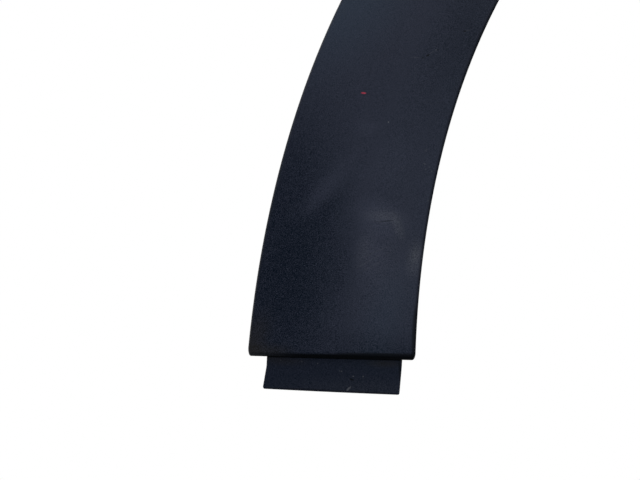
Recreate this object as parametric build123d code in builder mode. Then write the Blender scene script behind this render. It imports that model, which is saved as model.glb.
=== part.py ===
from build123d import *
import os
from math import acos, cos, degrees, hypot, radians, sin, sqrt

# Wheel arch trim: one injection moulding, held to the body by push-in clips in towers on its back.
# +X runs along the car, +Y into the body and +Z up. The rear rim meets the body at the seat plane, y = 0.
# The origin is the foot of the locating pin at the crown. The wheel axis runs along Y, below it.

# Band and its section
opening_radius = 360.0  # wheel-side edge of the band, from the wheel axis
band_width = 58.0  # from the wheel-side edge to the body-side edge
wall = 2.5
outer_rise = 6.5  # face above the seat plane at the body-side edge
inner_rise = 8.5  # face above the seat plane at the wheel-side edge
crown = 1.2  # bulge of the face between its two edges
edge_radius = 1.8  # rounding of the face's two long edges
end_radius = 1.6  # rounding of the edges and corners at each end
end_height = 13.4  # level ends of the band, above the wheel axis

# Rear rim and wheel-side flange
lip_land = 1.2  # body-side wall at its rear rim
lip_taper = 3.0  # depth over which that wall thins to the land
flange_depth = 12.0  # reach of the flange behind the seat plane
flange_wall = 2.2
flange_chamfer = 0.6  # on both sides of its rear edge
flange_end_gap = 6.0  # between the flange and each end of the band

# Stepped tab that goes under the next piece of trim, on the end at -X
lap_clearance = 0.5  # between the tab and the wall that laps over it
tab_wall = 2.0
tab_outer_inset = 6.6
tab_inner_inset = 4.2
tab_outer_length = 10.6
tab_inner_length = 11.8
tab_neck = 3.4  # straight stretch of the outer side, before its flare
tab_flare = 0.9
tab_taper = 1.2  # lean of the inner side over the tab's length
tab_corner = 0.6

# Ribs and clip towers, below the seat plane
back_setback = 1.6
rib_count = 15
rib_pitch = 11.0  # degrees
rib_wall = 1.4
clip_count = 8
clip_pitch = 22.0  # degrees
tower_length = 20.0  # along the band
tower_width = 18.0  # across the band
tower_wall = 1.8
tower_plate = 1.8

# Locating pins
pin_angles = (0.0, 66.0)  # degrees from the crown, towards +X
pin_radius = 3.5
pin_length = 10.0
pin_chamfer = 1.5
boss_radius = 6.0
web_length = 30.0

# Push-in clips
clip_play = 0.1  # between the clip and each face of the tower's plate
neck_radius = 3.0
slot_clearance = 0.2
head_radius = 6.6
head_thickness = 1.4
collar_foot_radius = 5.0
collar_radius = 8.0
collar_thickness = 1.2
anchor_thickness = 5.0
anchor_web = 2.4  # middle leg, from the collar to the nose
anchor_catch = 9.4  # across the two sprung wings, at their catches
anchor_wing = 1.5  # wall of a wing at its catch
anchor_catch_height = 2.2  # catches above the seat plane, over the body's sheet
anchor_slot_height = 9.6  # top of the slot between each wing and the web
anchor_nose = 3.2  # width at the tip
anchor_height = 13.0

# Places that follow from the sizes above
outer_radius = opening_radius + band_width
mid_radius = opening_radius + band_width / 2
wheel_centre = Vector(0, 0, -mid_radius)
wheel_axis = Axis(wheel_centre, (0, 1, 0))
end_plane = Plane(wheel_centre + Vector(0, 0, end_height), x_dir=(1, 0, 0), z_dir=(0, 0, 1))
full_rise = max(outer_rise, inner_rise) + crown
sweep_angle = degrees(acos((end_height - wall) / outer_radius))
lap_step = wall + lap_clearance

# The face is an arc across the band, bulged by the crown over the chord between its edges
rise_change = inner_rise - outer_rise
chord = hypot(band_width, rise_change)
face_radius = chord**2 / (8 * crown) + crown / 2
face_y = -(outer_rise + inner_rise) / 2 + (face_radius - crown) * band_width / chord
face_r = mid_radius - (face_radius - crown) * rise_change / chord


def face_depth(radius, inset):
    # y of the face at a radius from the wheel axis, moved in by an inset from the outside
    return face_y - sqrt((face_radius - inset) ** 2 - (radius - face_r) ** 2)


def face_points(inset, outer, inner):
    middle = (outer + inner) / 2
    return [(face_depth(radius, inset), radius) for radius in (outer, middle, inner)]


def radial_plane(angle):
    # section plane at an angle from the crown: x is depth, y is the distance from the wheel axis
    turn = radians(angle)
    return Plane(wheel_centre, x_dir=(0, 1, 0), z_dir=(cos(turn), 0, -sin(turn)))


def back_plane(angle, depth):
    # plane on the middle of the band, facing the body: x runs along the band
    turn = radians(angle)
    foot = wheel_centre + Vector(sin(turn), 0, cos(turn)) * mid_radius
    return Plane(foot + Vector(0, depth, 0), x_dir=(cos(turn), 0, -sin(turn)), z_dir=(0, 1, 0))


def spread(count, pitch):
    # angles evenly spaced about the crown
    return [(index - (count - 1) / 2) * pitch for index in range(count)]


def band_section(inset, rear):
    # band section moved in from the outside, closed at the depth of its rear
    outer = outer_radius - inset
    inner = opening_radius + inset
    arc = face_points(inset, outer, inner)
    with BuildLine() as outline:
        ThreePointArc(*arc)
        Polyline(arc[2], (rear, inner), (rear, outer), arc[0])
    make_face(outline.edges())


def channel_section():
    # hollow behind the face, with the body-side wall thinned towards its rear rim
    outer = outer_radius - wall
    inner = opening_radius + wall
    lip = outer_radius - lip_land
    arc = face_points(wall, outer, inner)
    with BuildLine() as outline:
        ThreePointArc(*arc)
        Polyline(arc[2], (flange_depth, inner), (flange_depth, lip), (0, lip), (-lip_taper, outer), arc[0])
    make_face(outline.edges())


rib_angles = spread(rib_count, rib_pitch)
clip_angles = spread(clip_count, clip_pitch)

# Hollow of the channel, which leaves a wall at each end
with BuildPart() as channel:
    with BuildSketch(radial_plane(-sweep_angle)):
        channel_section()
    revolve(axis=wheel_axis, revolution_arc=2 * sweep_angle)
    split(bisect_by=end_plane.offset(wall), keep=Keep.TOP)

# Space that the ribs, towers and bosses fill, down to the middle of the walls
with BuildPart() as core:
    with BuildSketch(radial_plane(-sweep_angle)):
        band_section(wall / 2, 0)
    revolve(axis=wheel_axis, revolution_arc=2 * sweep_angle)
    split(bisect_by=end_plane.offset(wall / 2), keep=Keep.TOP)

# Ribs across the channel, clip towers with keyhole slots, and locating pins on bosses
with BuildPart() as back_structure:
    for angle in rib_angles:
        with BuildSketch(radial_plane(angle)):
            with Locations((-back_setback, opening_radius)):
                Rectangle(full_rise, band_width, align=(Align.MAX, Align.MIN))
        extrude(amount=rib_wall / 2, both=True)
    for angle in clip_angles:
        with BuildSketch(back_plane(angle, -back_setback)):
            Rectangle(tower_length, tower_width)
        extrude(amount=-full_rise)
    for angle in pin_angles:
        with BuildSketch(back_plane(angle, -back_setback)):
            Rectangle(web_length, rib_wall)
        extrude(amount=-full_rise)
        with BuildSketch(back_plane(angle, 0)):
            Circle(boss_radius)
        extrude(amount=-full_rise)
    add(core.part, mode=Mode.INTERSECT)
    for angle in clip_angles:
        with BuildSketch(back_plane(angle, -back_setback - tower_plate)):
            with Locations((tower_wall, 0)):
                Rectangle(tower_length, tower_width - 2 * tower_wall)
        extrude(amount=-full_rise, mode=Mode.SUBTRACT)
        with BuildSketch(back_plane(angle, -back_setback)):
            Circle(neck_radius + slot_clearance)
            Rectangle(tower_length, 2 * (neck_radius + slot_clearance), align=(Align.MIN, Align.CENTER))
        extrude(amount=-tower_plate, mode=Mode.SUBTRACT)
    for angle in pin_angles:
        with BuildSketch(back_plane(angle, 0)):
            Circle(pin_radius)
        extrude(amount=pin_length)
    chamfer(back_structure.edges().group_by(Axis.Y)[-1], length=pin_chamfer)

# Tab that follows the face, lowered by the wall that laps over it
with BuildPart() as end_tab:
    tab_root_outer = sqrt((outer_radius - tab_outer_inset) ** 2 - end_height**2)
    tab_root_inner = sqrt((opening_radius + tab_inner_inset) ** 2 - end_height**2)
    with BuildSketch(end_plane.offset(wall)):
        front = [(-r, y) for y, r in face_points(lap_step, outer_radius, opening_radius)]
        rear = [(-r, y) for y, r in face_points(lap_step + tab_wall, outer_radius, opening_radius)]
        with BuildLine():
            ThreePointArc(*front)
            Line(front[2], rear[2])
            ThreePointArc(*rear[::-1])
            Line(rear[0], front[0])
        make_face()
    extrude(amount=-wall - max(tab_outer_length, tab_inner_length))
    with BuildSketch(Plane(end_plane.origin, x_dir=(1, 0, 0), z_dir=(0, -1, 0))):
        with BuildLine():
            Polyline(
                (-tab_root_inner, wall),
                (-tab_root_outer, wall),
                (-tab_root_outer, -tab_neck),
                (-tab_root_outer - tab_flare, -tab_outer_length),
                (-tab_root_inner - tab_taper, -tab_inner_length),
                (-tab_root_inner, 0),
                close=True,
            )
        make_face()
    extrude(amount=full_rise, both=True, mode=Mode.INTERSECT)
    fillet(end_tab.edges().filter_by(GeomType.LINE).filter_by(Axis.Y).sort_by(Axis.Z)[:2], radius=tab_corner)

# Flange that carries the wheel-side wall on behind the seat plane, round the edge of the body's opening
with BuildPart() as flange:
    with BuildSketch(radial_plane(-sweep_angle)) as flange_section:
        with Locations((-wall, opening_radius)):
            Rectangle(flange_depth + wall, flange_wall, align=(Align.MIN, Align.MIN))
        chamfer(flange_section.vertices().group_by(Axis.X)[-1], length=flange_chamfer)
    revolve(axis=wheel_axis, revolution_arc=2 * sweep_angle)
    split(bisect_by=end_plane.offset(flange_end_gap), keep=Keep.TOP)

# The moulding: the band, hollowed from the back, with its flange, its tab and what stands in its channel
with BuildPart() as arch_trim:
    with BuildSketch(radial_plane(-sweep_angle)) as face_section:
        band_section(0, 0)
        fillet(face_section.vertices().sort_by(Axis.X)[:2], radius=edge_radius)
    revolve(axis=wheel_axis, revolution_arc=2 * sweep_angle)
    split(bisect_by=end_plane, keep=Keep.TOP)
    end_faces = arch_trim.faces().filter_by(Axis.Z).group_by(Axis.Z)[0]
    fillet(end_faces.edges().filter_by(lambda edge: edge.center().Y < -end_radius), radius=end_radius)
    add(channel.part, mode=Mode.SUBTRACT)
    add(flange.part)
    add(back_structure.part)
    add(end_tab.part)
arch_trim.part.label = "arch_trim"

# One clip, its axis along Z and the seat plane at z = 0: a head and a collar hold the tower's plate
# between them, and an anchor with two sprung wings goes through the body's sheet
plate_top = -back_setback
plate_bottom = plate_top - tower_plate
head_top = plate_bottom - clip_play
collar_bottom = plate_top + clip_play
collar_top = collar_bottom + collar_thickness
with BuildPart() as clip:
    with BuildSketch(Plane.XZ):
        with BuildLine():
            Polyline(
                (0, head_top - head_thickness),
                (head_radius, head_top - head_thickness),
                (head_radius, head_top),
                (neck_radius, head_top),
                (neck_radius, collar_bottom),
                (collar_foot_radius, collar_bottom),
                (collar_radius, collar_top),
                (0, collar_top),
                close=True,
            )
        make_face()
    revolve(axis=Axis.Z)
    with BuildSketch(Plane.XZ):
        with BuildLine():
            Polyline(
                (0, collar_top),
                (anchor_web / 2, collar_top),
                (anchor_web / 2, anchor_slot_height),
                (anchor_catch / 2 - anchor_wing, anchor_catch_height),
                (anchor_catch / 2, anchor_catch_height),
                (anchor_nose / 2, anchor_height),
                (0, anchor_height),
                close=True,
            )
        make_face()
        mirror(about=Plane.YZ)
    extrude(amount=anchor_thickness / 2, both=True)

# The clips, one in each tower
with BuildPart() as panel_clips:
    with Locations(*[back_plane(angle, 0) for angle in clip_angles]):
        add(clip.part)
panel_clips.part.label = "panel_clips"

os.makedirs("parts", exist_ok=True)
export_step(arch_trim.part, "parts/arch_trim.step")
export_step(panel_clips.part, "parts/panel_clips.step")
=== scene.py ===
import math
import bmesh
import bpy
import numpy as np
from mathutils import Matrix, Vector


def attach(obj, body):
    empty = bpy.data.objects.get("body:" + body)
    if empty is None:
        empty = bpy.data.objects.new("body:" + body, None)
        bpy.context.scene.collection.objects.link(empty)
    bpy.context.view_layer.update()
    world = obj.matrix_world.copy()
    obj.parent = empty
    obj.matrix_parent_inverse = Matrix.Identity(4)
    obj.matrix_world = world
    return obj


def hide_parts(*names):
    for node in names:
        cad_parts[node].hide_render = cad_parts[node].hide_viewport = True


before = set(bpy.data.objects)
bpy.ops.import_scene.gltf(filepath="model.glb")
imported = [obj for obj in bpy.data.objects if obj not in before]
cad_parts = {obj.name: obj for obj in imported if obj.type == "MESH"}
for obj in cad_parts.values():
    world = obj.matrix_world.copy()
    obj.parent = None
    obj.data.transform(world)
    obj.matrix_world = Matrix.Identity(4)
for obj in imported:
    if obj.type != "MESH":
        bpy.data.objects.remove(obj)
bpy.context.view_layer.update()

scene = bpy.context.scene
mm = 0.001  # metres in a millimetre
weldGap = 2e-7  # metres, points nearer than this become one
print("frame loaded:", ", ".join(sorted(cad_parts)))

# Camera, at the photograph's viewing angle
cameraSet = {
    "place": (-0.4195, -0.1725, -0.3687),  # metres, in the part's frame
    "yaw": 8.51,  # degrees, from +Y towards +X
    "pitch": 11.44,
    "roll": -1.79,
    "lens": 27.0,  # millimetres
    "sensor": 36.0,
    "clip": (0.01, 100.0),  # metres, the nearest and farthest that it sees
}


def makeCamera(s):
    # level axes from yaw and pitch, then turned about the line of sight by the roll
    yaw, pitch, roll = (math.radians(s[key]) for key in ("yaw", "pitch", "roll"))
    forward = Vector((math.sin(yaw) * math.cos(pitch), math.cos(yaw) * math.cos(pitch), math.sin(pitch)))
    level = Vector((math.cos(yaw), -math.sin(yaw), 0.0))
    drop = forward.cross(level)
    right = level * math.cos(roll) + drop * math.sin(roll)
    down = drop * math.cos(roll) - level * math.sin(roll)
    data = bpy.data.cameras.new("photoCamera")
    data.lens = s["lens"]
    data.sensor_width = s["sensor"]
    data.clip_start, data.clip_end = s["clip"]
    camera = bpy.data.objects.new("photoCamera", data)
    turn = Matrix((right, -down, -forward)).transposed().to_4x4()
    camera.matrix_world = Matrix.Translation(s["place"]) @ turn
    scene.collection.objects.link(camera)
    scene.camera = camera


makeCamera(cameraSet)
print("camera placed")

# The moulding, sizes in millimetres as in the part's source
trimSet = {
    "openingRadius": 360.0,  # wheel-side edge of the band, from the wheel axis
    "bandWidth": 58.0,
    "wall": 2.5,
    "outerRise": 6.5,  # face above the seat plane at the body-side edge
    "innerRise": 8.5,  # and at the wheel-side edge
    "crown": 1.2,
    "edgeRadius": 1.8,
    "endRadius": 2.0,
    "endSide": 0.6,  # share of that rounding on the side walls
    "endCorner": 0.8,  # rounding of the end's corners, seen from the front
    "endHeight": 13.4,  # level ends, above the wheel axis
    "lipLand": 1.2,
    "lipTaper": 3.0,
    "flangeDepth": 12.0,
    "flangeWall": 2.2,
    "flangeChamfer": 0.6,
    "flangeEndGap": 6.0,
    "stations": 361,  # along the band
    "faceSteps": 28,  # across the face
    "edgeSteps": 8,  # round each edge
    "channelSteps": 18,
    "sharpAngle": 32.0,  # degrees, above which an edge stays crisp
}
tabSet = {
    "lapStep": 3.0,  # below the face
    "wall": 2.0,
    "outerInset": 6.6,
    "innerInset": 4.2,
    "outerLength": 10.6,
    "innerLength": 11.8,
    "neck": 3.4,
    "flare": 0.9,
    "taper": 1.2,
    "corner": 0.6,
    "root": 1.2,  # part of the tab that sits in the end wall
    "steps": 40,  # across the tab
    "rows": 7,  # down it from the neck
    "cornerSteps": 5,
}
backSet = {
    "setback": 1.6,  # ribs and towers below the seat plane
    "ribCount": 15,
    "ribPitch": 11.0,  # degrees
    "ribWall": 1.4,
    "clipCount": 8,
    "clipPitch": 22.0,  # degrees
    "towerLength": 20.0,  # along the band
    "towerWidth": 18.0,  # across the band
    "towerWall": 1.8,
    "towerPlate": 1.8,
    "slotRadius": 3.2,
    "cutMargin": 1.0,  # a slot's cutter past the plate
    "cutReach": 2.0,  # and a cutter past the tower's open side
    "pinAngles": (0.0, 66.0),  # degrees
    "pinRadius": 3.5,
    "pinLength": 10.0,
    "pinChamfer": 1.5,
    "bossRadius": 6.0,
    "webLength": 30.0,
    "roundSteps": 48,
    "towerPoints": 7,  # across the foot of a tower, which follows the face
    "ribPoints": 13,
    "ribEndPoints": 5,  # from a tower to a side wall
}

# The face is an arc through both edges that bulges by the crown: its radius, and its centre (faceY, faceR)
outerRadius = trimSet["openingRadius"] + trimSet["bandWidth"]
midRadius = trimSet["openingRadius"] + trimSet["bandWidth"] / 2
riseChange = trimSet["innerRise"] - trimSet["outerRise"]
chord = math.hypot(trimSet["bandWidth"], riseChange)
faceRadius = chord**2 / (8 * trimSet["crown"]) + trimSet["crown"] / 2
faceY = (faceRadius - trimSet["crown"]) * trimSet["bandWidth"] / chord
faceY -= (trimSet["outerRise"] + trimSet["innerRise"]) / 2
faceR = midRadius - (faceRadius - trimSet["crown"]) * riseChange / chord


def faceDepth(radius, inset):
    # depth of the face's arc at a radius from the wheel axis, moved in from the outside by the inset
    return faceY - np.sqrt((faceRadius - inset) ** 2 - (radius - faceR) ** 2)


def spread(count, pitch):
    # angles evenly spaced about the crown
    return (np.arange(count) - (count - 1) / 2) * pitch


def onBand(angles, along, across, depth):
    # points along the band's middle line, across it and behind the seat plane, carried to each angle
    along, across, depth = np.broadcast_arrays(along, across, depth)
    turn = np.radians(np.atleast_1d(angles).astype(float))[:, None, None]
    radius = midRadius + across
    x = along * np.cos(turn) + radius * np.sin(turn)
    z = radius * np.cos(turn) - along * np.sin(turn) - midRadius
    return np.stack((x, np.broadcast_to(depth, x.shape), z), axis=-1)


def loftMesh(name, *lofts):
    # closed solids from loops of points, each an array (copies, loops, points, xyz) and whether its ends
    # are capped: quads join every loop to the next one, and points in the same place become one
    points, faces, start = [], [], 0
    for loops, capped in lofts:
        copies, rows, columns, _ = loops.shape
        index = start + np.arange(copies * rows * columns).reshape(copies, rows, columns)
        ring = np.roll(index, -1, axis=2)
        quads = np.stack((index[:, :-1], index[:, 1:], ring[:, 1:], ring[:, :-1]), axis=-1)
        faces += quads.reshape(-1, 4).tolist()
        if capped:
            faces += index[:, (0, -1)].reshape(-1, columns).tolist()
        points.append(loops.reshape(-1, 3))
        start += index.size
    mesh = bpy.data.meshes.new(name)
    mesh.from_pydata((np.concatenate(points) * mm).tolist(), [], faces)
    work = bmesh.new()
    work.from_mesh(mesh)
    bmesh.ops.remove_doubles(work, verts=work.verts, dist=weldGap)
    bmesh.ops.recalc_face_normals(work, faces=work.faces)
    work.to_mesh(mesh)
    work.free()
    return mesh


def finishedMesh(body):
    # the mesh that an object's modifiers give
    return bpy.data.meshes.new_from_object(body.evaluated_get(bpy.context.evaluated_depsgraph_get()))


def combine(base, *steps):
    # Boolean modifiers on the base, one for each (operation, mesh), kept as one finished mesh
    body = bpy.data.objects.new("work", base)
    items = [body]
    for operation, mesh in steps:
        tool = bpy.data.objects.new("tool", mesh)
        step = body.modifiers.new(operation, "BOOLEAN")
        step.operation = operation
        step.solver = "MANIFOLD"
        step.object = tool
        items.append(tool)
    for item in items:
        scene.collection.objects.link(item)
    finished = finishedMesh(body)
    for item in items:
        spare = item.data
        bpy.data.objects.remove(item)
        bpy.data.meshes.remove(spare)
    return finished


def shellLoops(s):
    # Section of the band carried along the arch. The outside is three arcs that share their tangents (edge,
    # face, edge) and two walls; the inside is the flange and the channel. A point at radius r stands at a
    # share of the angle acos(level / r), so the last sections lie in level planes. There the outside draws
    # in along a quarter circle, the corners rise by another one, and the channel and the flange close by
    # folding flat on to the seat plane.
    edgeOuter = outerRadius - s["edgeRadius"]
    edgeInner = s["openingRadius"] + s["edgeRadius"]
    edgeY = faceDepth(np.array([edgeOuter, edgeInner]), s["edgeRadius"])
    tangent = np.arctan2(faceY - edgeY, np.array([edgeOuter, edgeInner]) - faceR)
    n, m = s["edgeSteps"] + 1, s["faceSteps"] - 1  # points on each edge and on the face between them
    angle = np.concatenate((
        [0.0], np.linspace(0.0, tangent[0], n), np.linspace(tangent[0], tangent[1], m + 2)[1:-1],
        np.linspace(tangent[1], math.pi, n), [math.pi]))
    centreY = np.concatenate(([0.0], np.full(n, edgeY[0]), np.full(m, faceY), np.full(n, edgeY[1]), [0.0]))
    centreR = np.concatenate((np.full(n + 1, edgeOuter), np.full(m, faceR), np.full(n + 1, edgeInner)))
    edgeBend = np.full(n + 1, s["edgeRadius"])
    radius = np.concatenate((edgeBend, np.full(m, faceRadius), edgeBend))

    inner = s["openingRadius"]
    chamfer = s["flangeChamfer"]
    flangeR = inner + np.array([0, chamfer, s["flangeWall"] - chamfer, s["flangeWall"], s["flangeWall"]])
    flangeY = s["flangeDepth"] - np.array([chamfer, 0, 0, chamfer, s["flangeDepth"]])
    floorR = np.linspace(inner + s["wall"], outerRadius - s["wall"], s["channelSteps"] + 1)
    floorY = faceDepth(floorR, s["wall"])
    rearR = np.concatenate((flangeR, floorR[:1], floorR, floorR[-1:], [outerRadius - s["lipLand"]]))
    rearY = np.concatenate((flangeY, [0.0], floorY, [-s["lipTaper"], 0.0]))
    isFlange = np.arange(rearR.size) < flangeR.size

    quarter = np.linspace(0, math.pi / 2, s["edgeSteps"] + 1)
    endInset = np.concatenate((s["endRadius"] * (1 - np.sin(quarter)), np.zeros(3)))
    endLevel = np.concatenate((
        s["endRadius"] * (1 - np.cos(quarter)), [s["wall"], s["wall"], s["flangeEndGap"]]))
    endOpen = np.concatenate((np.zeros(quarter.size + 1), np.ones(2)))
    run = np.linspace(-1, 1, s["stations"])
    still = np.ones(run.size)
    inset = np.concatenate((endInset, 0 * run, endInset[::-1]))[:, None]
    level = np.concatenate((endLevel, s["flangeEndGap"] * still, endLevel[::-1]))[:, None]
    channelOpen = np.concatenate((endOpen, still, endOpen[::-1]))[:, None]
    flangeOpen = np.concatenate((0 * endOpen, still, 0 * endOpen))[:, None]
    share = np.concatenate((-np.ones(endLevel.size), run, np.ones(endLevel.size)))[:, None]

    skinY = centreY - (radius - inset) * np.sin(angle)
    sideInset = inset * s["endSide"]
    skinR = centreR + (radius - sideInset) * np.cos(angle)
    insideR = inner + sideInset + (rearR - inner) * (1 - 2 * sideInset / s["bandWidth"])
    insideY = rearY * np.where(isFlange, flangeOpen, channelOpen)
    y = np.concatenate((skinY, insideY), axis=1)
    r = np.concatenate((skinR, insideR), axis=1)
    toSide = np.clip(np.minimum(r - inner, outerRadius - r), 0, s["endCorner"])
    lift = s["endCorner"] - np.sqrt(s["endCorner"] ** 2 - (s["endCorner"] - toSide) ** 2)
    turn = share * np.arccos((s["endHeight"] + level + lift * (level < s["flangeEndGap"])) / r)
    return np.stack((r * np.sin(turn), y, r * np.cos(turn) - midRadius), axis=-1)[None]


def tabLoops(s):
    # The face's arc, lowered by the step, cut to the tab's outline: loops round its thickness, carried
    # across it. Its lower corners rise by a quarter circle, and the first and last loops fold flat to close
    # its sides.
    endZ = trimSet["endHeight"] - midRadius
    rootOuter = math.sqrt((outerRadius - s["outerInset"]) ** 2 - trimSet["endHeight"] ** 2)
    rootInner = math.sqrt((trimSet["openingRadius"] + s["innerInset"]) ** 2 - trimSet["endHeight"] ** 2)
    quarter = np.linspace(0, math.pi / 2, s["cornerSteps"] + 1)
    corner = s["corner"] * (1 - np.cos(quarter)) / (rootOuter - rootInner)
    middle = np.linspace(corner[-1], 1 - corner[-1], s["steps"] + 1)[1:-1]
    across = np.concatenate((corner, middle, 1 - corner[::-1]))
    rise = s["corner"] * (1 - np.sin(np.concatenate((quarter, 0 * middle + math.pi / 2, quarter[::-1]))))
    bottom = rise - s["outerLength"] - across * (s["innerLength"] - s["outerLength"])
    down = np.linspace(0, 1, s["rows"])
    z = np.concatenate((
        np.full((across.size, 1), s["root"]), -s["neck"] + down * (bottom[:, None] + s["neck"])), axis=1)
    belowNeck = np.clip((-z - s["neck"]) / (s["outerLength"] - s["neck"]), 0, None)
    sideOuter = -rootOuter - s["flare"] * belowNeck
    sideInner = -rootInner - s["taper"] * np.clip(-z / s["innerLength"], 0, None)
    x = sideOuter + across[:, None] * (sideInner - sideOuter)
    front = np.stack((x, faceDepth(-x, s["lapStep"]), z + endZ), axis=-1)
    rear = np.stack((x, faceDepth(-x, s["lapStep"] + s["wall"]), z + endZ), axis=-1)
    loops = np.concatenate((front, rear[:, ::-1]), axis=1)
    flat = np.concatenate((front, front[:, ::-1]), axis=1)
    return np.concatenate((flat[:1], loops, flat[-1:]))[None]


def barLoops(angles, along, across, top, inset=None, bottom=None):
    # rectangles across the band, from the top down to the face's arc at an inset or to a level bottom
    across = np.asarray(across, float)[:, None]
    foot = faceDepth(midRadius + across, inset) if bottom is None else np.full(across.shape, bottom)
    depth = np.concatenate((np.full((across.size, 2), top), foot, foot), axis=1)
    ends = np.array([along[0], along[1], along[1], along[0]])
    return onBand(angles, ends, across, depth)


def turnedLoops(angles, profile, steps):
    # a profile of (radius, depth) turned about an axis through the band's middle line
    turn = np.linspace(0, 2 * math.pi, steps, endpoint=False)
    profile = np.array(profile)
    return onBand(angles, profile[:, :1] * np.cos(turn), profile[:, :1] * np.sin(turn), profile[:, 1:])


def keyholeLoops(angles, s, reach):
    # half circle round the clip's neck, drawn out along the band to the open side of the tower
    turn = np.linspace(math.pi / 2, 3 * math.pi / 2, s["roundSteps"] // 2 + 1)
    along = np.concatenate((s["slotRadius"] * np.cos(turn), [reach, reach]))
    across = np.concatenate((s["slotRadius"] * np.sin(turn), [-s["slotRadius"], s["slotRadius"]]))
    top = s["cutMargin"] - s["setback"]
    bottom = -s["cutMargin"] - s["setback"] - s["towerPlate"]
    return onBand(angles, along, across, np.array([[top], [bottom]]))


def mouldingMesh(t, s, tab):
    # shell, tab, ribs, towers, webs and pins, each a closed solid, joined into one
    middle = t["wall"] / 2  # ribs and towers end inside the face's wall
    sideWall = t["bandWidth"] / 2 - middle
    top = -s["setback"]
    ribAngles = spread(s["ribCount"], s["ribPitch"])
    clipAngles = spread(s["clipCount"], s["clipPitch"])
    plainAngles = np.setdiff1d(ribAngles, clipAngles)
    halfWidth = s["towerWidth"] / 2
    halfLength = s["towerLength"] / 2
    openSide = halfLength + s["cutReach"]
    underPlate = top - s["towerPlate"]
    belowFace = -2 * t["flangeDepth"]

    towerAcross = np.linspace(-halfWidth, halfWidth, s["towerPoints"])
    towers = loftMesh("towers", (
        barLoops(clipAngles, (-halfLength, halfLength), towerAcross, top, middle), True))
    inside = halfWidth - s["towerWall"]
    pocketAlong = (s["towerWall"] - halfLength, openSide)
    pockets = loftMesh("pockets", (
        barLoops(clipAngles, pocketAlong, (-inside, inside), underPlate, bottom=belowFace), True))
    slots = loftMesh("slots", (keyholeLoops(clipAngles, s, openSide), True))
    towers = combine(towers, ("DIFFERENCE", pockets), ("DIFFERENCE", slots))

    rib = (-s["ribWall"] / 2, s["ribWall"] / 2)
    inTower = halfWidth - s["towerWall"] / 2
    ribs = loftMesh(
        "ribs",
        (barLoops(plainAngles, rib, np.linspace(-sideWall, sideWall, s["ribPoints"]), top, middle), True),
        (barLoops(clipAngles, rib, np.linspace(-sideWall, -inTower, s["ribEndPoints"]), top, middle), True),
        (barLoops(clipAngles, rib, np.linspace(inTower, sideWall, s["ribEndPoints"]), top, middle), True))
    web = (-s["webLength"] / 2, s["webLength"] / 2)
    webs = loftMesh("webs", (barLoops(s["pinAngles"], web, rib, top, middle), True))
    foot = float(faceDepth(midRadius, middle))
    pinProfile = (
        (0, foot), (s["bossRadius"], foot), (s["bossRadius"], 0), (s["pinRadius"], 0),
        (s["pinRadius"], s["pinLength"] - s["pinChamfer"]),
        (s["pinRadius"] - s["pinChamfer"], s["pinLength"]), (0, s["pinLength"]))
    pins = loftMesh("pins", (turnedLoops(s["pinAngles"], pinProfile, s["roundSteps"]), False))
    lap = loftMesh("lap", (tabLoops(tab), False))
    shell = loftMesh("shell", (shellLoops(t), True))
    joins = [("UNION", mesh) for mesh in (lap, towers, ribs, webs, pins)]
    return combine(shell, *joins)


trimMesh = mouldingMesh(trimSet, backSet, tabSet)
print("moulding:", len(trimMesh.vertices), "points,", len(trimMesh.polygons), "faces")

# Push-in clips, one in each tower, sizes in millimetres
clipSet = {
    "neckRadius": 3.0,
    "headRadius": 6.6,
    "headTop": -3.5,
    "headThickness": 1.4,
    "collarBottom": -1.5,
    "collarTop": -0.3,
    "collarFoot": 5.0,
    "collarRadius": 8.0,
    "webHalf": 1.2,
    "slotHeight": 9.6,
    "wingInside": 3.2,
    "wingOutside": 4.7,
    "catchHeight": 2.2,
    "noseHalf": 1.6,
    "height": 13.0,
    "halfThickness": 2.5,
    "roundSteps": 48,
    "edge": 0.25,  # softening of edges
    "edgeSteps": 2,
    "edgeAngle": 40.0,  # degrees, above which an edge of the anchor is softened
}


def softened(mesh, s):
    # rounds the crisp edges of a finished solid with a Bevel modifier
    body = bpy.data.objects.new("work", mesh)
    scene.collection.objects.link(body)
    bevel = body.modifiers.new("soften", "BEVEL")
    bevel.width = s["edge"] * mm
    bevel.segments = s["edgeSteps"]
    bevel.limit_method = "ANGLE"
    bevel.angle_limit = math.radians(s["edgeAngle"])
    finished = finishedMesh(body)
    bpy.data.objects.remove(body)
    bpy.data.meshes.remove(mesh)
    return finished


def clipsMesh(s):
    # head, neck and collar are one profile turned about the clip's axis; the anchor is an outline in the
    # plane of the axis and the band, carried across its thickness, with its foot inside the collar
    angles = spread(backSet["clipCount"], backSet["clipPitch"])
    edge = s["edge"]
    foot = s["headTop"] - s["headThickness"]
    profile = (
        (0, foot), (s["headRadius"] - edge, foot), (s["headRadius"], foot + edge),
        (s["headRadius"], s["headTop"] - edge), (s["headRadius"] - edge, s["headTop"]),
        (s["neckRadius"], s["headTop"]), (s["neckRadius"], s["collarBottom"]),
        (s["collarFoot"], s["collarBottom"]), (s["collarRadius"], s["collarTop"] - edge),
        (s["collarRadius"] - edge, s["collarTop"]), (0, s["collarTop"]))
    stems = loftMesh("stems", (turnedLoops(angles, profile, s["roundSteps"]), False))
    inCollar = (s["collarTop"] + s["collarBottom"]) / 2
    half = np.array((
        (s["webHalf"], inCollar), (s["webHalf"], s["slotHeight"]), (s["wingInside"], s["catchHeight"]),
        (s["wingOutside"], s["catchHeight"]), (s["noseHalf"], s["height"])))
    outline = np.concatenate((half, half[::-1] * (-1, 1)))
    across = np.array([[-s["halfThickness"]], [s["halfThickness"]]])
    anchors = loftMesh("anchors", (onBand(angles, outline[:, 0], across, outline[:, 1]), True))
    return combine(stems, ("UNION", softened(anchors, s)))


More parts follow.
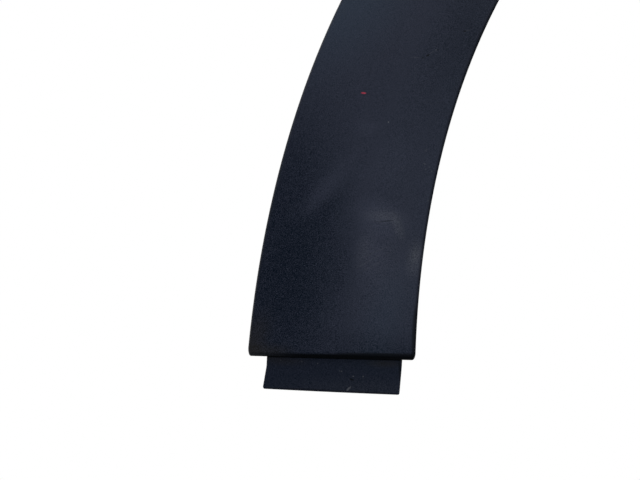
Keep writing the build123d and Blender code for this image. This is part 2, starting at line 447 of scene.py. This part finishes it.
clipMesh = clipsMesh(clipSet)
print("clips:", len(clipMesh.vertices), "points,", len(clipMesh.polygons), "faces")


def addNode(tree, kind, inputs=(), **settings):
    # a node with its settings and inputs, each input a value or the socket that feeds it
    node = tree.nodes.new(kind)
    for key, value in settings.items():
        setattr(node, key, value)
    for key, value in dict(inputs).items():
        if isinstance(value, bpy.types.NodeSocket):
            tree.links.new(value, node.inputs[key])
        else:
            node.inputs[key].default_value = value
    return node


def newMaterial(name):
    # an empty node material and its tree
    material = bpy.data.materials.new(name)
    material.use_nodes = True
    material.node_tree.nodes.clear()
    return material, material.node_tree


def ramp(tree, value, low, high, toLow=0.0, toHigh=1.0):
    # smooth step of a value between two limits
    return addNode(tree, "ShaderNodeMapRange", {
        "Value": value, "From Min": low, "From Max": high, "To Min": toLow, "To Max": toHigh},
        interpolation_type="SMOOTHSTEP").outputs[0]


def between(tree, value, base, limits, most=1.0):
    # smooth step between two distances from a base, the limits in millimetres
    return ramp(tree, value, base + limits[0] * mm, base + limits[1] * mm, 0.0, most)


def sums(tree, operation, *values):
    # one Math node
    return addNode(tree, "ShaderNodeMath", dict(enumerate(values)), operation=operation).outputs[0]


def blended(tree, factor, first, second):
    # one colour Mix node
    return addNode(tree, "ShaderNodeMix", {0: factor, 6: first, 7: second}, data_type="RGBA").outputs[2]


def noise(tree, place, scale, detail, roughness=0.5):
    # one Noise node, its scale in a metre
    return addNode(tree, "ShaderNodeTexNoise", {
        "Vector": place, "Scale": scale, "Detail": detail, "Roughness": roughness}).outputs["Fac"]


def centred(tree, value, middle=0.5):
    # a noise moved so that it varies about zero
    return sums(tree, "SUBTRACT", value, middle)


# Grained plastic of the moulding: deep fresh plastic, a weathered bloom on the show face with painted shade
# and light in part of it, marks of use, and painted shade on the edges and under the lip
plasticSet = {
    "core": (0.0120, 0.0130, 0.0152, 1.0),  # back and walls
    "backCloud": (0.0215, 0.0225, 0.0245, 1.0),  # cloudy parts of the back
    "backLimits": (0.35, 0.70),  # of the mottle, between which the back clouds over
    "backBreak": 0.6,  # how far the patches break that up
    "deep": (0.0003, 0.0020, 0.0060, 1.0),  # show face where it is wiped clean
    "bloom": (0.0330, 0.0370, 0.0570, 1.0),
    "bloomLevel": 0.95,
    "bloomScale": 0.5,
    "edge": (0.0008, 0.0010, 0.0014, 1.0),  # painted shade on the rounded edges and in the crease under the lip, and the colour of dark marks
    "scuff": (0.0900, 0.0950, 0.1050, 1.0),
    "red": (0.2600, 0.0300, 0.0500, 1.0),
    "dust": (0.0180, 0.0135, 0.0045, 1.0),  # warm road dust
    "dustCover": 2.0,  # how far it takes the painted shade off the lip
    "cool": (0.0120, 0.0340, 0.0560, 1.0),  # bluer bloom
    "sheen": (0.65, 0.80, 1.00, 1.0),  # cool tint of the reflections
    "specular": 0.045,
    "roughness": 0.34,
    "tabRoughness": 0.60,
    "edgeRoughness": 0.95,
    "roughBreak": 0.12,  # how far the patches vary it
    "grain": (4200.0, 1.5, 0.6),  # noises: scale in a metre, detail, roughness
    "mottle": (38.0, 4.0, 0.55),
    "patches": (260.0, 3.0, 0.6),
    "cells": 3360.0,  # in a metre, between the tops of the grain
    "cellDepth": -0.5,
    "grainMiddle": 0.30,
    "grainDepth": 0.00006,  # metres
    "bump": (0.25, 0.70),  # its strength on the back and on the face
    "mottleDepth": 0.18,
    "hazeBreak": (0.6, 0.7),  # share of the haze that the patches vary, and its least
    "speckle": 3.1,  # how much more bloom the tops of the grain carry
    "speckleLimits": (1.6, 0.72),  # most where the bloom is thin, least where it is thick
    "tabBloom": 0.40,  # the covered tab carries less
    "tabSpeckle": 0.38,
    "rubBreak": 4.0,  # how far the grain breaks up the rubs
    "softMark": 1.0,  # share of a mark's reach over which it fades
    "crispMark": 0.45,
    "faceLimits": (-0.30, -0.75),  # masks, from none to all: Y of the normal on the show face
    "lipLimits": (-0.12, -0.55),  # Z of the normal on the lip of the level end, which gets painted shade where it turns down
    "lipHeight": (6.0, 3.0),  # millimetres above that end
    "tabStep": (-0.3, 0.3),
    # painted shadow in the crease under the lip, on the tab's top, millimetres about the level end
    "creaseFoot": (-0.4, -0.1),
    "creaseTop": (0.6, 0.2),
    "wheelEdge": (2.1, 0.6),  # painted shade, millimetres from the wheel-side edge
    "wheelEdgeMost": 0.7,
}

# A mark is an ellipse at (x, z) in millimetres with its half length, half width, the way it runs (dx, dz)
# and its strength
# haze marks; the darker lower end and the paling towards the crown are in part painted shade and light
hazeAndShadeMarks = (
    (-411, -338, 80, 30, 0.25, 1.0, -0.50),  # darker lower end along the body-side edge: painted shade and wiped haze
    (-408, -308, 28, 14, 0.3, 1.0, -0.12),
    (-400, -354, 60, 21, 0.15, 1.0, -0.40),  # and further in
    (-374, -380, 60, 18, 1.0, 0.0, -0.70),  # above the level end
    (-396, -373, 26, 6, 1.0, 0.0, 0.20),  # greyer along its body-side half
    (-330, -247, 75, 30, 0.45, 0.9, -0.48),  # darker, by the wheel-side edge
    (-393, -315, 25, 6, 0.6, 0.8, 0.30),  # pale streak
    (-397, -320, 15, 5, 0.6, 0.8, 0.18),
    (-391, -323, 14, 5, 0.6, 0.8, -0.14),  # dark beside it
    (-373, -325, 15, 9, 1.0, -0.3, 0.48),  # rubbed patch
    (-376, -337, 18, 9, 0.0, 1.0, 0.30),  # under it
    (-387, -346, 20, 8, 0.1, 1.0, -0.12),  # where the pale side begins
    (-370, -348, 36, 18, 0.15, 1.0, 0.17),  # pale down the wheel side
    (-355, -341, 14, 9, 1.0, 0.3, 0.25),  # rubbed wheel-side edge
    (-388, -240, 45, 28, 0.5, 0.85, 0.16),  # paler towards the crown: painted light and haze
    (-378, -291, 7, 5, 1.0, 0.3, 0.22),  # small pale spot
    (-371, -306, 20, 11, 0.5, 0.85, 0.12),  # pale above the rubbed patch
)
dustMarks = (
    (-417.5, -372.5, 17.0, 7.0, 0.4, 0.9, 0.30),  # body-side corner of the end
    (-411.0, -374.0, 12.0, 4.0, 1.0, 0.0, 0.25),  # along the lip from there
    (-370.5, -376.9, 10.0, 2.2, 1.0, 0.0, 0.24),  # top of the tab
    (-405.0, -377.0, 11.0, 2.4, 1.0, 0.0, 0.16),
)
coolMarks = (
    (-386.0, -236.0, 60.0, 30.0, 0.6, 0.8, 0.20),  # towards the crown
    (-371.0, -360.0, 26.0, 12.0, 0.3, 0.95, 0.10),
)
rubMarks = (  # pale grey rubs
    (-372.0, -325.0, 10.0, 4.0, 1.0, 0.0, 0.15),  # bent rub
    (-366.6, -328.4, 7.5, 3.0, 0.35, -1.0, 0.15),
    (-360.2, -340.0, 10.0, 4.5, 0.15, 1.0, 0.17),  # wheel-side edge
    (-359.8, -338.2, 4.5, 2.8, 0.5, 1.0, 0.09),
    (-379.0, -338.0, 10.0, 4.5, 0.2, 1.0, 0.07),  # under the bent rub
    (-370.0, -346.0, 36.0, 18.0, 0.15, 1.0, 0.03),  # down the wheel side
    (-378.0, -386.0, 40.0, 6.0, 1.0, 0.0, 0.045),  # lower part of the tab
)
darkMarks = (
    (-354.2, -258.1, 1.2, 0.36, 1.0, 0.7, 1.0),  # nick
    (-356.3, -259.5, 0.6, 0.32, 1.0, 0.5, 0.9),
    (-350.0, -255.1, 0.45, 0.30, 1.0, 0.2, 0.8),
    (-338.2, -245.1, 0.9, 0.34, 1.0, 0.4, 1.0),
    (-370.8, -326.7, 3.2, 0.25, 1.0, 0.15, 0.6),  # scratch in the rubbed patch
    (-374.2, -327.2, 2.4, 0.22, 1.0, -0.1, 0.28),
    (-382.3, -382.5, 0.7, 0.40, 1.0, -0.35, 0.9),  # spots on the tab
    (-381.6, -382.7, 0.4, 0.30, 1.0, 0.0, 0.8),
    (-366.0, -374.6, 34.0, 1.60, 1.0, 0.0, 0.9),  # painted shade along the lower edge, deeper towards the wheel
    (-360.4, -368.0, 14.0, 1.50, 0.04, 1.0, 0.7),
    (-364.6, -381.6, 8.0, 0.75, -0.1, 1.0, 0.6),  # sides of the tab
    (-386.0, -386.6, 34.0, 0.60, 1.0, -0.03, 0.5),
)
paleMarks = (
    (-370.2, -288.1, 0.28, 0.28, 1.0, 0.0, 0.9),
    (-359.0, -259.7, 2.0, 0.25, 1.0, 0.0, 0.13),  # along the nick
    (-352.4, -256.5, 2.0, 0.25, 1.0, 0.75, 0.11),
    (-350.7, -255.2, 0.45, 0.35, 1.0, 0.3, 0.28),
    (-336.8, -244.5, 1.4, 0.30, 1.0, 0.3, 0.12),
    (-356.1, -303.5, 0.60, 0.40, 1.0, -0.4, 0.22),  # flecks by the wheel-side edge
    (-354.1, -304.6, 0.45, 0.32, 1.0, 0.3, 0.18),
    (-355.7, -305.6, 0.35, 0.35, 1.0, 0.0, 0.18),
    (-353.3, -306.2, 0.38, 0.35, 1.0, 0.0, 0.24),
    (-355.4, -298.0, 1.10, 0.60, 0.3, 1.0, 0.08),
    (-354.8, -317.8, 0.55, 0.35, 1.0, 0.5, 0.18),
    (-365.1, -305.9, 0.35, 0.35, 1.0, 0.0, 0.10),
    (-377.0, -341.6, 7.0, 0.40, 1.0, 0.6, 0.07),  # wiping lines
    (-375.6, -343.2, 6.0, 0.35, 1.0, 0.6, 0.07),
    (-374.0, -337.9, 7.0, 0.40, 1.0, 0.5, 0.06),
    (-383.1, -385.6, 1.35, 0.38, 1.0, 1.0, 0.45),  # scratch and specks on the tab
    (-381.6, -381.5, 0.30, 0.28, 1.0, 0.0, 0.45),
    (-378.1, -381.5, 0.28, 0.28, 1.0, 0.0, 0.40),
    (-385.7, -379.9, 0.35, 0.28, 1.0, 0.0, 0.30),
    (-386.4, -379.8, 0.28, 0.28, 1.0, 0.0, 0.20),
    (-394.0, -377.5, 0.28, 0.28, 1.0, 0.0, 0.25),
    (-399.4, -377.0, 0.28, 0.28, 1.0, 0.0, 0.20),
    (-406.5, -376.8, 0.32, 0.28, 1.0, 0.0, 0.15),
)
redMarks = ((-379.9, -277.0, 1.2, 0.45, 1.0, 0.0, 1.0),)


def markSum(tree, place, marks, fade):
    # each mark is a ball of unit radius in its own turned and scaled coordinates, which fades over a share
    # of that radius, and the marks add up
    total = 0.0
    for x, z, halfLong, halfWide, dx, dz, strength in marks:
        turned = addNode(tree, "ShaderNodeMapping", {
            "Vector": place, "Location": (x * mm, 0.0, z * mm), "Rotation": (0.0, math.atan2(-dz, dx), 0.0),
            "Scale": (halfLong * mm, 1.0, halfWide * mm)}, vector_type="TEXTURE")
        ball = addNode(tree, "ShaderNodeTexGradient", {
            "Vector": turned.outputs[0]}, gradient_type="SPHERICAL").outputs["Fac"]
        total = sums(tree, "MULTIPLY_ADD", ramp(tree, ball, 0.0, fade), strength, total)
    return total


def plasticMasks(tree, place, s):
    # shares from 0 to 1: show face, what lies above the tab, dust, and painted shade on the lip, the
    # wheel-side edge and the crease under the lip
    normal = addNode(tree, "ShaderNodeSeparateXYZ", {
        "Vector": addNode(tree, "ShaderNodeNewGeometry").outputs["Normal"]})
    face = ramp(tree, normal.outputs["Y"], *s["faceLimits"])
    fromAxis = addNode(tree, "ShaderNodeVectorMath", {
        0: place, 1: (1.0, 0.0, 1.0), 2: (0.0, 0.0, midRadius * mm)}, operation="MULTIPLY_ADD").outputs[0]
    radius = addNode(tree, "ShaderNodeVectorMath", {0: fromAxis}, operation="LENGTH").outputs["Value"]
    height = addNode(tree, "ShaderNodeSeparateXYZ", {"Vector": place}).outputs["Z"]
    endZ = (trimSet["endHeight"] - midRadius) * mm
    aboveTab = between(tree, height, endZ, s["tabStep"])
    dusty = markSum(tree, place, dustMarks, s["softMark"])
    # painted shade on the lip, where the rounded end edge turns down, less where dust lies
    lip = sums(tree, "MULTIPLY", ramp(tree, normal.outputs["Z"], *s["lipLimits"]), between(
        tree, height, endZ, s["lipHeight"]))
    lip = sums(tree, "MULTIPLY", lip, sums(tree, "MULTIPLY_ADD", dusty, -s["dustCover"], 1.0))
    # painted shade along the rounded wheel-side edge
    wheelEdge = between(tree, radius, trimSet["openingRadius"] * mm, s["wheelEdge"], s["wheelEdgeMost"])
    # painted shadow in the crease under the lip, along the top of the tab
    creaseShadow = sums(tree, "MULTIPLY", between(tree, height, endZ, s["creaseFoot"]), between(
        tree, height, endZ, s["creaseTop"]))
    paintedShade = sums(tree, "MAXIMUM", sums(tree, "MAXIMUM", lip, wheelEdge), creaseShadow)
    return face, aboveTab, dusty, paintedShade


def bloomTone(tree, s, film, raised, aboveTab):
    # deep plastic that turns to bloom with the film, most on the tops of the grain where the film is thin
    thin, thick = s["speckleLimits"]
    contrast = sums(tree, "MAXIMUM", sums(tree, "SUBTRACT", thin, film), thick)
    speckle = sums(tree, "MULTIPLY", raised, ramp(
        tree, aboveTab, 0.0, 1.0, s["tabSpeckle"] * s["speckle"], s["speckle"]))
    speckle = sums(tree, "MULTIPLY", speckle, contrast)
    tops = sums(tree, "MULTIPLY", sums(tree, "ADD", film, speckle), s["bloomScale"])
    return blended(tree, tops, s["deep"], s["bloom"])


def grainedPlastic(s):
    # show face: bloom, dust, rubs, scratches and specks in turn; back: cloudy; painted shade on edges and
    # crease over both
    material, tree = newMaterial("grainedPlastic")
    place = addNode(tree, "ShaderNodeTexCoord").outputs["Object"]
    face, aboveTab, dusty, paintedShade = plasticMasks(tree, place, s)
    cells = addNode(tree, "ShaderNodeTexVoronoi", {
        "Vector": place, "Scale": s["cells"]}, feature="SMOOTH_F1").outputs["Distance"]
    grain = sums(tree, "MULTIPLY_ADD", cells, s["cellDepth"], noise(tree, place, *s["grain"]))
    raised = centred(tree, grain, s["grainMiddle"])
    mottle = noise(tree, place, *s["mottle"])
    patches = noise(tree, place, *s["patches"])

    cloud = sums(tree, "MULTIPLY_ADD", centred(tree, mottle), s["mottleDepth"], s["bloomLevel"])
    # haze marks, with painted shade at the lower end and painted light towards the crown
    hazeAndShade = markSum(tree, place, hazeAndShadeMarks, s["softMark"])
    hazeAndShade = sums(tree, "MULTIPLY", hazeAndShade, sums(tree, "MULTIPLY_ADD", patches, *s["hazeBreak"]))
    film = sums(tree, "ADD", sums(tree, "ADD", cloud, hazeAndShade), -s["tabBloom"])
    film = sums(tree, "MULTIPLY_ADD", film, aboveTab, s["tabBloom"])
    tone = bloomTone(tree, s, film, raised, aboveTab)
    tone = blended(tree, dusty, tone, s["dust"])
    tone = blended(tree, markSum(tree, place, coolMarks, s["softMark"]), tone, s["cool"])
    rubbed = sums(tree, "MULTIPLY", markSum(tree, place, rubMarks, s["softMark"]), sums(
        tree, "MULTIPLY_ADD", raised, s["rubBreak"], 1.0))
    tone = blended(tree, rubbed, tone, s["scuff"])
    for marks, colour in ((darkMarks, s["edge"]), (paleMarks, s["scuff"]), (redMarks, s["red"])):
        tone = blended(tree, markSum(tree, place, marks, s["crispMark"]), tone, colour)
    dull = sums(tree, "MULTIPLY_ADD", centred(tree, patches), s["backBreak"], ramp(
        tree, mottle, *s["backLimits"]))
    back = blended(tree, dull, s["core"], s["backCloud"])
    tone = blended(tree, face, back, tone)
    # painted shade on the edges and in the crease
    tone = blended(tree, paintedShade, tone, s["edge"])

    bump = addNode(tree, "ShaderNodeBump", {
        "Strength": ramp(tree, face, 0.0, 1.0, *s["bump"]), "Distance": s["grainDepth"], "Height": grain})
    rough = ramp(tree, aboveTab, 0.0, 1.0, s["tabRoughness"], s["roughness"])
    rough = sums(tree, "MULTIPLY_ADD", centred(tree, patches), s["roughBreak"], rough)
    rough = ramp(tree, paintedShade, 0.0, 1.0, rough, s["edgeRoughness"])
    shader = addNode(tree, "ShaderNodeBsdfPrincipled", {
        "Base Color": tone, "Roughness": rough, "Specular IOR Level": s["specular"],
        "Specular Tint": s["sheen"], "Normal": bump.outputs["Normal"]})
    addNode(tree, "ShaderNodeOutputMaterial", {"Surface": shader.outputs["BSDF"]})
    return material


# Natural nylon of the clips
nylonSet = {
    "pale": (0.80, 0.77, 0.68, 1.0),
    "warm": (0.70, 0.66, 0.55, 1.0),
    "roughness": (0.34, 0.54),
    "cloud": (220.0, 3.0),  # noises: scale in a metre, detail
    "ripple": (900.0, 2.0),
    "limits": (0.3, 0.7),  # of both, between which colour and roughness change
    "rippleDepth": 0.00004,  # metres
    "bump": 0.5,
}


def naturalNylon(s):
    # cloudy off-white plastic with a faint ripple from the mould
    material, tree = newMaterial("naturalNylon")
    place = addNode(tree, "ShaderNodeTexCoord").outputs["Object"]
    cloud = noise(tree, place, *s["cloud"])
    ripple = noise(tree, place, *s["ripple"])
    bump = addNode(tree, "ShaderNodeBump", {
        "Strength": s["bump"], "Distance": s["rippleDepth"], "Height": ripple})
    shader = addNode(tree, "ShaderNodeBsdfPrincipled", {
        "Base Color": blended(tree, ramp(tree, cloud, *s["limits"]), s["pale"], s["warm"]),
        "Roughness": ramp(tree, ripple, *s["limits"], *s["roughness"]), "Normal": bump.outputs["Normal"]})
    addNode(tree, "ShaderNodeOutputMaterial", {"Surface": shader.outputs["BSDF"]})
    return material


def keepPiece(name, mesh, material, node):
    # a finished piece at the origin that stands for its CAD node
    mesh.materials.clear()
    mesh.materials.append(material)
    mesh.shade_smooth()
    mesh.set_sharp_from_angle(angle=math.radians(trimSet["sharpAngle"]))
    piece = bpy.data.objects.new(name, mesh)
    scene.collection.objects.link(piece)
    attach(piece, "root")
    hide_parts(node)


keepPiece("trimMoulding", trimMesh, grainedPlastic(plasticSet), "arch_trim")
keepPiece("panelClips", clipMesh, naturalNylon(nylonSet), "panel_clips")
print("pieces finished")

# Studio: a pale floor that fades to white away from the part, soft boxes and a plain room, dim as a lamp
studioSet = {
    "floorHeight": -0.56,  # metres
    "floorSide": 12.0,
    "floorPoints": 9,  # along a side
    "floorColour": (0.88, 0.88, 0.88, 1.0),
    "fade": (0.16, 0.48),  # distance from the part between which the floor turns white
    "fadeStart": 0.30,  # white in it under the part
    "fadeStretch": 1.6,  # the fade is an ellipse, longer along the arch
    "roomColour": (1.0, 1.0, 1.0, 1.0),
    "white": 1.0,  # strength that shows as white
    "room": 0.25,  # the room's strength as a lamp
    "boxes": {
        "frontBox": {"place": (0.45, -1.76, 0.18), "aim": (-0.37, 0.0, -0.30), "size": 1.6, "watts": 19.5},
        "upperBox": {"place": (-0.56, -1.10, 1.36), "aim": (-0.37, 0.0, -0.30), "size": 1.1, "watts": 10.5},
        "sideBox": {"place": (-1.90, -0.55, 0.90), "aim": (-0.36, 0.0, -0.25), "size": 1.2, "watts": 5.0},
        "backBox": {"place": (0.50, 1.70, 1.50), "aim": (0.0, 0.0, -0.15), "size": 1.6, "watts": 22.0},
    },
}


def seenDirectly(tree):
    # 1 for what the camera sees, directly or in a mirror or glass, and 0 for what lights the part
    path = addNode(tree, "ShaderNodeLightPath").outputs
    mirrored = sums(tree, "MAXIMUM", path["Is Camera Ray"], path["Is Glossy Ray"])
    return sums(tree, "MAXIMUM", mirrored, path["Is Transmission Ray"])


def studioFloor(s):
    # a level square, pale near the part and white where its stretched distance from it passes the fade
    side = np.linspace(-0.5, 0.5, s["floorPoints"]) * s["floorSide"]
    grid = np.stack(np.broadcast_arrays(side[:, None], side, s["floorHeight"]), axis=-1)
    index = np.arange(side.size**2).reshape(side.size, side.size)
    quads = np.stack((index[:-1, :-1], index[1:, :-1], index[1:, 1:], index[:-1, 1:]), axis=-1)
    mesh = bpy.data.meshes.new("studioFloor")
    mesh.from_pydata(grid.reshape(-1, 3).tolist(), [], quads.reshape(-1, 4).tolist())
    material, tree = newMaterial("paleFloor")
    place = addNode(tree, "ShaderNodeTexCoord").outputs["Object"]
    flat = addNode(tree, "ShaderNodeVectorMath", {
        0: place, 1: (1.0 / s["fadeStretch"], 1.0, 0.0)}, operation="MULTIPLY").outputs[0]
    distance = addNode(tree, "ShaderNodeVectorMath", {0: flat}, operation="LENGTH").outputs["Value"]
    faded = ramp(tree, distance, *s["fade"], s["fadeStart"], 1.0)
    share = sums(tree, "MULTIPLY", seenDirectly(tree), faded)
    pale = addNode(tree, "ShaderNodeBsdfDiffuse", {"Color": s["floorColour"]})
    glow = addNode(tree, "ShaderNodeEmission", {"Strength": s["white"]})
    mixed = addNode(tree, "ShaderNodeMixShader", {0: share, 1: pale.outputs[0], 2: glow.outputs[0]})
    addNode(tree, "ShaderNodeOutputMaterial", {"Surface": mixed.outputs[0]})
    mesh.materials.append(material)
    floor = bpy.data.objects.new("studioFloor", mesh)
    scene.collection.objects.link(floor)


def studioRoom(s):
    # white where it is seen directly, dim as a lamp
    world = bpy.data.worlds.new("plainRoom")
    world.use_nodes = True
    tree = world.node_tree
    room = tree.nodes["Background"]
    room.inputs["Color"].default_value = s["roomColour"]
    strength = sums(tree, "MULTIPLY_ADD", seenDirectly(tree), s["white"] - s["room"], s["room"])
    tree.links.new(strength, room.inputs["Strength"])
    scene.world = world


def softBox(name, s):
    # a square lamp, turned from its place towards its aim
    data = bpy.data.lights.new(name, "AREA")
    data.size = s["size"]
    data.energy = s["watts"]
    box = bpy.data.objects.new(name, data)
    box.location = s["place"]
    box.visible_camera = False
    box.rotation_euler = (Vector(s["aim"]) - Vector(s["place"])).to_track_quat("-Z", "Y").to_euler()
    scene.collection.objects.link(box)


studioFloor(studioSet)
studioRoom(studioSet)
for boxName, boxSet in studioSet["boxes"].items():
    softBox(boxName, boxSet)
scene.view_settings.view_transform = "Standard"
print("studio set up")
